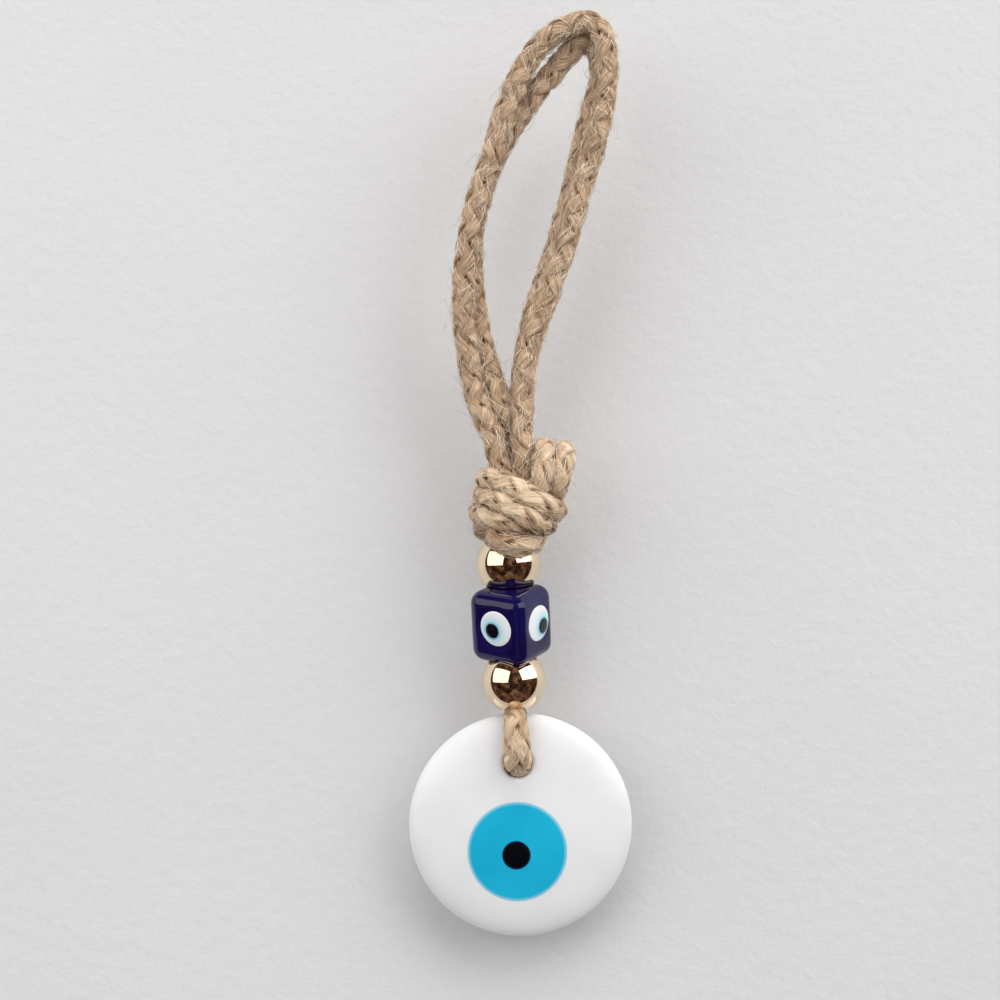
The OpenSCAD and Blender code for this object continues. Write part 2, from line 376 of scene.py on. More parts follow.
def vertex_points(made):
    """A mesh's points as an array."""
    co = np.zeros(len(made.data.vertices) * 3)
    made.data.vertices.foreach_get("co", co)
    return co.reshape(-1, 3)


def store(made, name, values):
    """Keeps a number for each point on the mesh, where its material reads it."""
    attribute = made.data.attributes.new(name, "FLOAT", "POINT")
    attribute.data.foreach_set("value", values.astype(np.float32))


def ring_quads(rings, n, start=0, wrap=False):
    """Quads between neighbouring rings of n points, and from the last to the first if wrapped."""
    faces = []
    for i in range(rings if wrap else rings - 1):
        here = start + i * n
        after = start + (i + 1) % rings * n
        for k in range(n):
            side = (k + 1) % n
            faces.append((here + k, here + side, after + side, after + k))
    return faces


def lens_faces(rings, n):
    """Faces over a middle point, rings of n points round it, and a middle point behind."""
    last = 1 + (rings - 1) * n
    front = [(0, 1 + (k + 1) % n, 1 + k) for k in range(n)]
    back = [(last + k, last + (k + 1) % n, last + n) for k in range(n)]
    return front + ring_quads(rings, n, start=1) + back


def unit(v):
    """Vectors scaled to a length of one."""
    return v / np.linalg.norm(v, axis=-1, keepdims=True)


def run_along(path):
    """How far along a path each of its points lies."""
    return np.concatenate([[0], np.cumsum(np.linalg.norm(np.diff(path, axis=0), axis=1))])


def blend_along(path, run, at):
    """The points at given distances along a path."""
    return np.stack([np.interp(at, run, path[:, k]) for k in range(3)], 1)


def smooth_path(points, step):
    """An even row of points along a smooth curve through the given ones."""
    p = np.array(points, float)
    p = np.vstack([2 * p[0] - p[1], p, 2 * p[-1] - p[-2]])
    fine = []
    for a, b, c, d in zip(p[:-3], p[1:-2], p[2:-1], p[3:]):
        for t in np.linspace(0, 1, 24, endpoint=False):
            fine.append(0.5 * (2 * b + (c - a) * t + (2 * a - 5 * b + 4 * c - d) * t * t
                               + (3 * b - a - 3 * c + d) * t ** 3))
    fine.append(p[-2])
    fine = np.array(fine)
    run = run_along(fine)
    count = max(int(round(run[-1] / step)), 2)
    return blend_along(fine, run, np.linspace(0, run[-1], count + 1))


def path_frames(path):
    """Tangent and two sideways directions at each point, carried along without twist."""
    tangent = unit(np.gradient(path, axis=0))
    first = np.cross(tangent[0], [0.3, 1.0, 0.2])
    normals = [first / np.linalg.norm(first)]
    for t in tangent[1:]:
        n = normals[-1] - t * (normals[-1] @ t)
        normals.append(n / np.linalg.norm(n))
    normals = np.array(normals)
    return tangent, normals, np.cross(tangent, normals)


# ---------------------------------------------------------------- braided cord

STRAND_SIDES = 16
STRAND_STEP = 0.42 * MM
LAY = 17.5 * MM
PER_WAY = 3
RIDGE = 0.085
# In cord radii: how far out a strand runs and how wide and thick it is; passing over adds the lift
REACH, REACH_LIFT = 0.65, 0.15
WIDTH, WIDTH_LIFT = 0.61, 0.06
THICK = 0.26
FILLING = 0.60
# The depth value, which paints shade on the cord, is 0 up to this many cord radii from the cord's line,
# and 1 half a radius further out
DEEP = 0.45
DEEP_TO_SKIN = 0.50
# Painted shade on each strand's flanks, and the low depth value that paints the filling dark with shade
FLANK_SHADE = 0.45
FILLING_DEPTH = 0.12
# Fibre coordinates, in millimetres: round a strand, round the knot's inside, and from strand to strand
STRAND_ROUND = 7.0
CORE_ROUND = 5.6
STRAND_SHIFT = 37.0


def strand_mesh(centre, outward, width, thick, along, seed):
    """One flat bundle of fibres along its own line, with ridges that drift from one to the next."""
    noise = np.random.default_rng(seed)
    tangent = unit(np.gradient(centre, axis=0))
    side = unit(np.cross(tangent, outward))
    out = np.cross(side, tangent)
    n = STRAND_SIDES
    angles = np.linspace(0, 2 * math.pi, n, endpoint=False)
    ridge = noise.uniform(-1, 1, n)
    next_ridge = noise.uniform(-1, 1, n)
    drift = 0.5 + 0.5 * np.sin(along[:, None] / (3.1 * MM) + noise.uniform(0, 6.3, n))
    rough = 1 + RIDGE * (ridge * drift + next_ridge * (1 - drift))
    x = np.cos(angles)[None, :, None] * (width[:, None] * rough)[:, :, None]
    y = np.sin(angles)[None, :, None] * (thick[:, None] * rough)[:, :, None]
    rings = centre[:, None, :] + x * side[:, None, :] + y * out[:, None, :]
    count = len(centre)
    faces = ring_quads(count, n)
    faces.append(tuple(range(n - 1, -1, -1)))
    faces.append(tuple(range((count - 1) * n, count * n)))
    return rings.reshape(-1, 3), faces


def strand_uv(run, number):
    """Fibre coordinates of a strand, shifted along so that no two strands look the same."""
    around = np.arange(STRAND_SIDES) / STRAND_SIDES * STRAND_ROUND
    along = run / MM + STRAND_SHIFT * number
    return np.stack(np.broadcast_arrays(around[None, :], along[:, None]), 2).reshape(-1, 2)


def strand_depth(points, path, radius):
    """The depth value of a strand's points, which paints shade: 0 deep in the cord, 1 on its skin, less
    on the flanks for painted shade there.
    """
    rings = points.reshape(len(path), STRAND_SIDES, 3)
    out = np.linalg.norm(rings - path[:, None, :], axis=2).reshape(-1) / radius
    flank = np.abs(np.cos(2 * math.pi * np.arange(STRAND_SIDES) / STRAND_SIDES)) ** 4
    return np.clip((out - DEEP) / DEEP_TO_SKIN, 0, 1) * (1 - FLANK_SHADE * np.tile(flank, len(path)))


def braid(name, route, diameter, material=JUTE, lay=LAY, swell=None):
    """A round braid along a route: three strands each way, over and under, on a soft filling.

    swell(path) gives how much wider and deeper the cord is at each point, across X and the rest.
    """
    path = smooth_path(route, STRAND_STEP)
    _, n1, n2 = path_frames(path)
    run = run_along(path)
    radius = diameter / 2
    wide, deep = swell(path) if swell else (np.ones(len(path)), np.ones(len(path)))
    points, faces, uvs, depths = [], [], [], []

    def add(strand, uv, depth=None):
        base = sum(len(p) for p in points)
        points.append(strand[0])
        faces.extend([tuple(v + base for v in face) for face in strand[1]])
        uvs.append(uv)
        depths.append(strand_depth(strand[0], path, radius) if depth is None else depth)

    for way in (1, -1):
        for k in range(PER_WAY):
            seed = int(rng.integers(1 << 30))
            wander = 0.10 * np.sin(run / (11 * MM) + rng.uniform(0, 6.3))
            turn = 2 * math.pi * (way * run / lay + k / PER_WAY) + wander
            lift = way * np.cos(2 * PER_WAY * math.pi * run / lay)
            bulge = 1 + 0.05 * np.sin(run / (7 * MM) + rng.uniform(0, 6.3))
            outward = np.cos(turn)[:, None] * n1 + np.sin(turn)[:, None] * n2
            offset = outward * (radius * (REACH + REACH_LIFT * lift))[:, None]
            sideways = offset[:, :1] * np.array([[1.0, 0, 0]])
            centre = path + sideways * wide[:, None] + (offset - sideways) * deep[:, None]
            width = radius * (WIDTH + WIDTH_LIFT * lift) * bulge * (1 + wide) / 2
            thick = radius * THICK * (2 - bulge)
            add(strand_mesh(centre, outward, width, thick, run, seed),
                strand_uv(run, k + PER_WAY * (way > 0)))
    thick = radius * FILLING * np.minimum(wide, deep)
    filling = strand_mesh(path, n1, thick, thick, run, 7)
    # The filling shows only in the gaps, painted dark with shade by its low depth value
    add(filling, strand_uv(run, PER_WAY - 1), np.full(len(filling[0]), FILLING_DEPTH))
    made = make_object(name, np.vstack(points), faces, material)
    paint_cord(made, np.vstack(uvs), np.concatenate(depths), STRAND_ROUND)
    return made, path


def paint_cord(made, uv, depth, around):
    """Stores fibre coordinates, in millimetres round and along, and the depth in the cord, which the jute
    material turns into painted shade.
    """
    mesh = made.data
    loops = np.zeros(len(mesh.loops), int)
    mesh.loops.foreach_get("vertex_index", loops)
    corner = uv[loops].copy()
    starts = np.zeros(len(mesh.polygons), int)
    mesh.polygons.foreach_get("loop_start", starts)
    totals = np.zeros(len(mesh.polygons), int)
    mesh.polygons.foreach_get("loop_total", totals)
    quads = starts[totals == 4][:, None] + np.arange(4)[None, :]
    block = corner[quads]
    # A quad that closes a ring goes on past the last column instead of back to 0
    closing = np.ptp(block[:, :, 0], axis=1) > around / 2
    block[closing, :, 0] += np.where(block[closing, :, 0] < around / 2, around, 0)
    corner[quads] = block
    layer = mesh.uv_layers.new(name="fibre")
    layer.data.foreach_set("uv", corner.astype(np.float32).ravel())
    store(made, "depth", depth)


HAIR_POINTS = 7
HAIR_SIDES = 3
# Hairs, from least to most, in millimetres; a stray one stands out by up to its rise
STRAY_LENGTH = (1.5, 5.5)
LYING_LENGTH = (1.2, 3.6)
HAIR_HALF = (0.035, 0.070)
STRAY_RISE = 2.2


def fibres(name, path, radius, lying, straying):
    """Loose hairs round a cord: most lie on it or cross it, some stand out and curl."""
    _, n1, n2 = path_frames(path)
    run = run_along(path)
    share = np.linspace(0, 1, HAIR_POINTS)
    points, faces = [], []
    for number in range(lying + straying):
        stray = number >= lying
        long = rng.uniform(*(STRAY_LENGTH if stray else LYING_LENGTH)) * MM
        lean = rng.uniform(-0.9, 0.9) if stray else rng.normal(0, 0.55)
        way = rng.choice((-1, 1))
        along = rng.uniform(0, run[-1]) + way * math.cos(lean) * long * share
        along = np.clip(along, 0, run[-1])
        bend = rng.uniform(-0.8, 0.8) * share ** 2
        turn = rng.uniform(0, 2 * math.pi) + (math.sin(lean) * share + bend * 0.5) * long / radius
        if stray:
            rise = rng.uniform(0.15, 1.0) * STRAY_RISE * MM * share ** rng.uniform(0.8, 1.8)
        else:
            rise = rng.uniform(0.05, 0.35) * MM * np.sin(math.pi * share) - 0.05 * MM
        reach = radius * 1.06 + rise
        a, b = blend_along(n1, run, along), blend_along(n2, run, along)
        outward = np.cos(turn)[:, None] * a + np.sin(turn)[:, None] * b
        line = blend_along(path, run, along) + reach[:, None] * outward
        if np.linalg.norm(line[-1] - line[0]) < 0.4 * MM:
            continue
        hair(points, faces, line, rng.uniform(*HAIR_HALF) * MM)
    return make_object(name, np.vstack(points), faces, FIBRE)


def hair(points, faces, line, half):
    """Adds one thin closed three-sided tube that tapers to its tip."""
    _, f1, f2 = path_frames(line)
    n = HAIR_SIDES
    base = len(points) * HAIR_POINTS * n
    ring = []
    for j in range(HAIR_POINTS):
        r = half * (1 - 0.6 * j / (HAIR_POINTS - 1))
        for a in np.arange(n) / n * 2 * math.pi:
            ring.append(line[j] + r * (math.cos(a) * f1[j] + math.sin(a) * f2[j]))
    points.append(np.array(ring))
    last = base + (HAIR_POINTS - 1) * n
    faces.extend(ring_quads(HAIR_POINTS, n, start=base))
    faces += [(base + 2, base + 1, base), (last, last + 1, last + 2)]


# ---------------------------------------------------------------- the loop

OUTER_ROUTE = [
    (-0.0202, -0.0020, -0.0693), (-0.0211, -0.0014, -0.0670), (-0.0229, -0.0009, -0.0623),
    (-0.0239, -0.0012, -0.0572), (-0.0244, -0.0015, -0.0520), (-0.0247, -0.0016, -0.0470),
    (-0.0245, -0.0018, -0.0420), (-0.0239, -0.0019, -0.0370), (-0.0229, -0.0020, -0.0320),
    (-0.0216, -0.0020, -0.0270), (-0.0198, -0.0020, -0.0220), (-0.0178, -0.0020, -0.0170),
    (-0.0161, -0.0018, -0.0118), (-0.0140, -0.0017, -0.0067), (-0.0125, -0.0016, -0.0039),
    (-0.0106, -0.0015, -0.0009), (-0.0083, -0.0014, 0.0017), (-0.0051, -0.0013, 0.0039),
    (-0.0012, -0.0013, 0.0052), (0.0014, -0.0015, 0.0046), (0.0028, -0.0019, 0.0022),
    (0.0031, -0.0020, -0.0014), (0.0030, -0.0020, -0.0050), (0.0023, -0.0019, -0.0100),
    (0.0009, -0.0018, -0.0150), (-0.0007, -0.0018, -0.0200), (-0.0026, -0.0019, -0.0250),
    (-0.0042, -0.0019, -0.0300), (-0.0058, -0.0019, -0.0350), (-0.0079, -0.0019, -0.0400),
    (-0.0098, -0.0019, -0.0450), (-0.0120, -0.0020, -0.0500), (-0.0137, -0.0020, -0.0550),
    (-0.0145, -0.0020, -0.0600), (-0.0150, -0.0020, -0.0650), (-0.0153, -0.0020, -0.0693),
]
INNER_ROUTE = [
    (-0.0176, 0.0008, -0.0688), (-0.0174, 0.0002, -0.0667), (-0.0186, 0.0000, -0.0625),
    (-0.0204, 0.0004, -0.0573), (-0.0216, 0.0011, -0.0520), (-0.0223, 0.0016, -0.0470),
    (-0.0228, 0.0018, -0.0420), (-0.0229, 0.0019, -0.0370), (-0.0226, 0.0020, -0.0320),
    (-0.0214, 0.0020, -0.0270), (-0.0196, 0.0020, -0.0220), (-0.0173, 0.0020, -0.0170),
    (-0.0144, 0.0018, -0.0124), (-0.0107, 0.0017, -0.0075), (-0.0085, 0.0016, -0.0050),
    (-0.0062, 0.0015, -0.0026), (-0.0039, 0.0014, -0.0001), (-0.0014, 0.0013, 0.0020),
    (0.0008, 0.0015, 0.0020), (0.0020, 0.0019, -0.0003), (0.0023, 0.0020, -0.0028),
    (0.0019, 0.0020, -0.0057), (0.0004, 0.0019, -0.0100), (-0.0012, 0.0018, -0.0150),
    (-0.0026, 0.0018, -0.0200), (-0.0040, 0.0019, -0.0250), (-0.0057, 0.0019, -0.0300),
    (-0.0074, 0.0019, -0.0350), (-0.0094, 0.0019, -0.0400), (-0.0113, 0.0019, -0.0450),
    (-0.0128, 0.0020, -0.0500), (-0.0140, 0.0020, -0.0550), (-0.0148, 0.0020, -0.0600),
    (-0.0153, 0.0020, -0.0650), (-0.0156, 0.0020, -0.0693),
]
# Inside the knot each run goes on a little, down from its left and right ends
OUTER_TAILS = ([(-0.0186, -0.0018, -0.0770), (-0.0196, -0.0022, -0.0730)],
               [(-0.0152, -0.0024, -0.0730), (-0.0156, -0.0020, -0.0770)])
INNER_TAILS = ([(-0.0172, 0.0018, -0.0770), (-0.0176, 0.0014, -0.0730)],
               [(-0.0148, 0.0020, -0.0730), (-0.0154, 0.0018, -0.0770)])


def add_loop_run(name, node, route, tails, hairs):
    """One run of the loop, bending between the loop and the string at the neck."""
    whole = [*tails[0], *route, *tails[1]]
    made, path = braid(name, whole, CORD_D, LOOP_JUTE)
    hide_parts(node)
    stray = fibres(name + "_fibres", path, CORD_D / 2, *hairs)
    for piece in (made, stray):
        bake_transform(piece)
    return path


outer_path = add_loop_run("loop_outer", "loop_cord_outer", OUTER_ROUTE, OUTER_TAILS, (2100, 320))
inner_path = add_loop_run("loop_inner", "loop_cord_inner", INNER_ROUTE, INNER_TAILS, (1900, 240))


# ---------------------------------------------------------------- the knot

# Wraps of the doubled cord, in millimetres, each starting and ending inside the knot
KNOT_WRAPS = {
    "band_upper": [(-17, 1, -79), (-20.4, 2.8, -77.6), (-21.8, -1.2, -76.8), (-19.9, -5.4, -77.0),
                   (-16.3, -7.5, -78.7), (-12.9, -7.4, -80.9), (-10.9, -5.4, -82.3), (-10.3, -1.4, -82.9),
                   (-11.4, 3.0, -82.6), (-14.4, 5.0, -80.6), (-16, 1.5, -80)],
    "band_lower": [(-16, 0, -82), (-20.6, 3.4, -80.8), (-22.9, 0.4, -80.0), (-21.8, -4.4, -79.9),
                   (-18.6, -7.3, -81.6), (-15.6, -7.5, -83.5), (-13.2, -5.6, -84.9), (-12.4, -1.2, -85.1),
                   (-14.0, 3.4, -84.4), (-18.2, 5.0, -83.2), (-17, 1, -82)],
    "crown_left": [(-14, -1, -81), (-12.5, -5.2, -79.4), (-11.5, -6.2, -75.6), (-10.9, -4.0, -72.3),
                   (-10.7, 0.0, -71.3), (-11.1, 3.8, -73.5), (-12.6, 5.0, -77.6), (-14, 1.5, -80)],
    "crown_right": [(-12, -1, -81), (-10.2, -4.4, -79.4), (-8.8, -5.2, -75.8), (-8.2, -3.4, -72.7),
                    (-8.1, 0.4, -71.8), (-8.4, 3.4, -73.9), (-9.6, 4.2, -77.8), (-12, 1.0, -80)],
    "left_upper": [(-17, 2, -81), (-20.6, 4.2, -82.4), (-22.9, 1.0, -82.6), (-22.6, -2.8, -82.6),
                   (-20.4, -5.4, -84.4), (-17.0, -5.4, -85.6), (-15, -2, -84)],
    "left_lower": [(-18, 2, -83), (-20.2, 3.0, -84.6), (-21.4, 0, -84.9), (-20.7, -3.6, -85.2),
                   (-18, -4.6, -85.0), (-16, -2, -83.6)],
    "collar": [(-17, 3.4, -84.6), (-19.2, 3.0, -84.9), (-20.4, 0.0, -85.5), (-20.0, -3.6, -86.5),
               (-18.2, -5.9, -87.5), (-16.4, -6.5, -87.8), (-14.5, -5.4, -87.0), (-13.8, -2.4, -85.9),
               (-14.4, 1.6, -85.0), (-16, 3.2, -84.6)],
}
KNOT_CORD_D = 3.9 * MM
KNOT_MIDDLE = np.array((-16.6, -0.6, -80.5)) * MM
# Only the ends of the loop's runs below this height touch the wraps
LIMBS_BELOW = -66 * MM
# Wraps push each other this far apart, centre to centre, and stay this far out of the bead
WRAP_GAP = 3.35 * MM
BEAD_GAP = 0.47 * KNOT_CORD_D
# Shares of each move: pushed apart, smoothed, drawn back to the first line
PUSH, EASE, RETURN = 0.5, 0.25, 0.06
# Nearer the knot's middle than this, wraps may run through each other
HIDDEN_R = 4.5 * MM
# Painted shade in the creases, by millimetres from the next wrap's line, and painted shadow in the hollow
# above the bead
CREASE, CREASE_TO_OPEN = 1.75, 0.95
HOLLOW_Z, HOLLOW_HEIGHT, HOLLOW_SHADE = -86.3, 1.2, 0.9
# The knot's inside: its size in millimetres, and a low depth value that paints it dark with shade
CORE_SIZE = (5.6, 5.0, 5.4)
CORE_DEPTH = 0.25


def relax(paths, fixed, closest, rounds):
    """Eases wraps apart where they lie in each other, holding each near its own line."""
    home = [p.copy() for p in paths]
    for _ in range(rounds):
        everything = np.vstack(paths + fixed)
        owner = np.concatenate([np.full(len(p), i) for i, p in enumerate(paths + fixed)])
        shifted = []
        for i, p in enumerate(paths):
            gap = p[:, None, :] - everything[None, :, :]
            far = np.linalg.norm(gap, axis=2)
            close = (far < closest) & (owner[None, :] != i) & (far > 1e-9)
            push = np.where(close, (closest - far) / np.maximum(far, 1e-9), 0)
            most = np.maximum(close.sum(1), 1)[:, None]
            outer = np.linalg.norm(p - KNOT_MIDDLE, axis=1)[:, None] > HIDDEN_R
            move = PUSH * (gap * push[:, :, None]).sum(1) / most
            bend = np.zeros_like(p)
            bend[1:-1] = (p[:-2] + p[2:]) / 2 - p[1:-1]
            moved = p + np.where(outer, move, 0) + EASE * bend + RETURN * (home[i] - p)
            from_bead = moved - np.array(UPPER)
            reach = np.linalg.norm(from_bead, axis=1, keepdims=True)
            clear = BEAD_R + BEAD_GAP
            moved = np.where(reach < clear, np.array(UPPER) + from_bead / reach * clear, moved)
            shifted.append(moved)
        paths = shifted
    return paths


def paint_crease_shade(made, others):
    """Paints shade: lowers the depth value, and so darkens the cord, where a wrap dips in beside another
    one and in the hollow above the bead.
    """
    co = vertex_points(made)
    lines = np.vstack(others)
    near = np.full(len(co), 1.0)
    for part in np.array_split(np.arange(len(co)), max(len(co) // 4000, 1)):
        near[part] = np.linalg.norm(co[part][:, None, :] - lines[None, :, :], axis=2).min(1)
    open_share = np.clip((near / MM - CREASE) / CREASE_TO_OPEN, 0, 1)
    hollow = np.exp(-((co[:, 2] / MM - HOLLOW_Z) / HOLLOW_HEIGHT) ** 2)
    values = made.data.attributes["depth"].data
    depth = np.zeros(len(co), dtype=np.float32)
    values.foreach_get("value", depth)
    depth = np.minimum(depth, 0.02 + 0.98 * open_share) * (1 - HOLLOW_SHADE * hollow)
    values.foreach_set("value", depth.astype(np.float32))


def knot_core():
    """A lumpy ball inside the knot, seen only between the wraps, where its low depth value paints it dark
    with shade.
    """
    bm = bmesh.new()
    bmesh.ops.create_icosphere(bm, subdivisions=5, radius=1)
    for v in bm.verts:
        d = v.co.normalized()
        lump = 1 + 0.06 * math.sin(9 * d.x + 4 * d.z) * math.cos(8 * d.y - 3 * d.z)
        v.co = d * Vector(CORE_SIZE) * lump * MM + Vector(KNOT_MIDDLE)
    made = from_bmesh("knot_core", bm)
    made.data.materials.append(JUTE)
    shade_smooth(made)
    co = vertex_points(made) - KNOT_MIDDLE
    around = (np.arctan2(co[:, 1], co[:, 0]) / math.pi + 1) * CORE_ROUND / 2
    paint_cord(made, np.stack([around, co[:, 2] / MM], 1), np.full(len(co), CORE_DEPTH), CORE_ROUND)
    return made


def add_knot():
    """The wraps, eased apart and closed round a core painted dark with shade; all move with the string.
    """
    names = list(KNOT_WRAPS)
    rough = [smooth_path(np.array(KNOT_WRAPS[n], float) * MM, 0.8 * MM) for n in names]
    limbs = [p[p[:, 2] < LIMBS_BELOW] for p in (outer_path[::2], inner_path[::2])]
    eased = relax(rough, limbs, WRAP_GAP, 50)
    core = knot_core()
    pieces = [core]
    for name, path in zip(names, eased):
        made, line = braid("knot_" + name, path[::3], KNOT_CORD_D, lay=17 * MM)
        paint_crease_shade(made, [p for p in eased + limbs if p is not path])
        stray = fibres("knot_" + name + "_fibres", line, KNOT_CORD_D / 2, 430, 50)
        pieces += [made, stray]
    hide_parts("knot")
    for piece in pieces:
        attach(piece, "string")


add_knot()


# ---------------------------------------------------------------- cord in the bores and the bight

CORE_D = 2.8 * MM
CORE_Y = 1.45 * MM
BIGHT_D = 3.9 * MM
# The bight in the YZ plane, in millimetres: across, and up from the hole's middle
BIGHT_SIDE = [(1.25, 10.9), (1.3, 9.9), (2.0, 8.8), (3.6, 7.4),
              (4.75, 5.6), (4.95, 3.4), (4.3, 1.2), (2.6, -0.2)]
BIGHT_LOWEST = -0.35
# In millimetres, the heights where the cord starts to spread and where it is inside the bead
SPREAD_Z = -118.5
BEAD_Z = -119.6
# Half the length of the way through the disc, where the cord fills the hole
HOLE_HALF = 3.6


def add_core():
    """The two limbs of the cord inside the beads, side by side."""
    for name, node, y in (("core_front", "core_cord_front", -1), ("core_back", "core_cord_back", 1)):
        line = [(STRING_X, y * CORE_Y, z) for z in np.linspace(CORE_HIGH.z, CORE_LOW.z + 0.1 * MM, 8)]
        made, _ = braid(name, line, CORE_D, lay=14 * MM)
        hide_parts(node)
        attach(made, "string")


def bight_swell(path):
    """The cord spreads sideways towards the hole, lies flat on the faces and fills the hole."""
    y, z = np.abs(path[:, 1]) / MM, path[:, 2] / MM
    down = np.clip((SPREAD_Z - z) / 6, 0, 1)
    inside = np.clip((HOLE_HALF - y) / 2, 0, 1) * down
    in_bead = np.clip((z - BEAD_Z) / 1.4, 0, 1)
    wide = 1 + 0.32 * down * (1 + 0.25 * inside) - 0.06 * in_bead
    deep = (1 - 0.16 * down + 0.24 * inside) * (1 - 0.32 * in_bead)
    return wide, deep


def add_bight():
    """The bend of the cord: down in front of the disc, through its hole and up behind it."""
    side = [(STRING_X, -y * MM, HOLE.z + z * MM) for y, z in BIGHT_SIDE]
    other = [(x, -y, z) for x, y, z in reversed(side)]
    route = [*side, (STRING_X, 0, HOLE.z + BIGHT_LOWEST * MM), *other]
    made, path = braid("bight", route, BIGHT_D, lay=17 * MM, swell=bight_swell)
    stray = fibres("bight_fibres", path[8:-8], 1.8 * MM, 160, 6)
    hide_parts("bight_cord")
    for piece in (made, stray):
        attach(piece, "bight")


add_core()
add_bight()


# ---------------------------------------------------------------- metal beads

def turned(name, profile, centre, material, sides=160):
    """A closed ring of revolution about the upright axis, from (radius, height) points."""
    angles = np.linspace(0, 2 * math.pi, sides, endpoint=False)
    ring = np.array(profile)
    x = ring[:, 0][None, :] * np.cos(angles)[:, None]
    y = ring[:, 0][None, :] * np.sin(angles)[:, None]
    z = np.broadcast_to(ring[:, 1][None, :], x.shape)
    points = np.stack([x, y, z], 2).reshape(-1, 3) + np.array(centre)
    faces = [(a, d, c, b) for a, b, c, d in ring_quads(sides, len(ring), wrap=True)]
    return make_object(name, points, faces, material)


def bead_profile():
    """A sphere with a bore, its mouths rolled over by a small lip."""
    lip = 0.25 * MM
    mouth = math.asin((BORE_R + lip) / BEAD_R)
    outer = [(BEAD_R * math.sin(t), BEAD_R * math.cos(t))
             for t in np.linspace(mouth, math.pi - mouth, 90)]
    edge_z = outer[0][1] - lip * 0.9
    wall = [(BORE_R, z) for z in np.linspace(-edge_z, edge_z, 12)]
    mouth_arc = [(BORE_R + lip * (1 - math.sin(t)), edge_z + lip * math.cos(t))
                 for t in np.linspace(1.57, 0.3, 6)][1:]
    return outer + [(r, -z) for r, z in reversed(mouth_arc)] + wall + mouth_arc


for node, body, at in (("bead_upper", "upper_bead", UPPER), ("bead_lower", "lower_bead", LOWER)):
    bead = turned("gold_" + node, bead_profile(), at, GOLD)
    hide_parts(node)
    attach(bead, body)


# ---------------------------------------------------------------- cube bead

CUBE_W = 11.4 * MM
CUBE_H = 13.0 * MM
CUBE_SHIFT = 0.8 * MM
CUBE_EDGE = 2.25 * MM
CUBE_CROWN = 0.22 * MM
CUBE_TURN = math.radians(-35)
CUBE_LEAN = math.radians(15)
CUBE_CELLS = 44
# Where each eye sits on its side, and its black dot in it, across and up, in millimetres
EYE_PLACE = [(0.55, 0.6), (0.4, 0.6), (-0.3, -0.5), (0.2, -0.3)]
PUPIL_PLACE = [(-0.6, -0.4), (1.0, -0.7), (0.4, -0.3), (-0.4, 0.3)]
EYE_R = 3.25 * MM
PUPIL_R = 1.55 * MM
IRIS_R = 1.22 * PUPIL_R
# How far the iris follows the black dot away from the eye's middle
IRIS_SHARE = 0.9
# The glass dips towards each eye, over this share of its radius outside it
EYE_DIP = 0.15 * MM
EYE_DIP_RIM = 0.38
EYE_DEEP = 1.0 * MM
TINT_REACH = 2.35 * MM
DOT_RINGS = 26
DOT_SIDES = 72


def turn_upright(p, angle):
    """Points turned about the upright axis."""
    c, s = math.cos(angle), math.sin(angle)
    return p @ np.array([[c, s, 0], [-s, c, 0], [0, 0, 1]])


def cube_to_row(p):
    """From the cube's own axes to the row's, turned and leaning."""
    p = turn_upright(p, CUBE_TURN)
    c, s = math.cos(CUBE_LEAN), math.sin(CUBE_LEAN)
    p = p @ np.array([[1, 0, 0], [0, c, s], [0, -s, c]])
    return p + np.array(CUBE) - np.array((0, CUBE_SHIFT, 0))


def pillow(p):
    """Moves points on a plain block's skin out to the rounded, crowned one."""
    half = np.array((CUBE_W, CUBE_W, CUBE_H)) / 2
    inner = np.clip(p, -half + CUBE_EDGE, half - CUBE_EDGE)
    away = p - inner
    size = np.linalg.norm(away, axis=1, keepdims=True)
    out = away / np.maximum(size, 1e-12)
    rounded = inner + out * CUBE_EDGE
    share = np.clip(1 - (rounded / half) ** 2, 0, 1)
    for axis in range(3):
        others = [k for k in range(3) if k != axis]
        rise = CUBE_CROWN * share[:, others[0]] * share[:, others[1]]
        rounded[:, axis] += np.sign(p[:, axis]) * rise * np.abs(out[:, axis])
    for side in range(4):
        a = math.radians(90 * side)
        facing = np.array((math.sin(a), -math.cos(a), 0))
        across = rounded @ np.array((math.cos(a), math.sin(a), 0)) - EYE_PLACE[side][0] * MM
        away = np.hypot(across, rounded[:, 2] - EYE_PLACE[side][1] * MM) / EYE_R
        near = np.clip((1 + EYE_DIP_RIM - away) / EYE_DIP_RIM, 0, 1)
        dip = EYE_DIP * near ** 1.4 * (out @ facing > 0.9)
        rounded -= dip[:, None] * facing
    return rounded


def dish(p):
    """Presses both ends in where the round beads sit."""
    clear = BEAD_R + 0.15 * MM
    for bead, way in ((UPPER, -1), (LOWER, 1)):
        away = p - np.array(bead)
        across = np.hypot(away[:, 0], away[:, 1])
        depth = np.sqrt(np.maximum(clear ** 2 - across ** 2, 0))
        inside = (across < clear) & (np.abs(away[:, 2]) < depth)
        p[inside, 2] = bead.z + way * depth[inside]
    return p


def cutter(at, radius, length):
    """An upright round bar to cut a bore with."""
    bm = bmesh.new()
    bmesh.ops.create_cone(bm, cap_ends=True, segments=96, radius1=radius, radius2=radius, depth=length)
    made = from_bmesh("cutter", bm)
    made.location = at
    return made


def settle(made):
    """Replaces an object's mesh by what its modifiers make of it."""
    bpy.context.view_layer.update()
    graph = bpy.context.evaluated_depsgraph_get()
    final = bpy.data.meshes.new_from_object(made.evaluated_get(graph))
    made.modifiers.clear()
    made.data = final


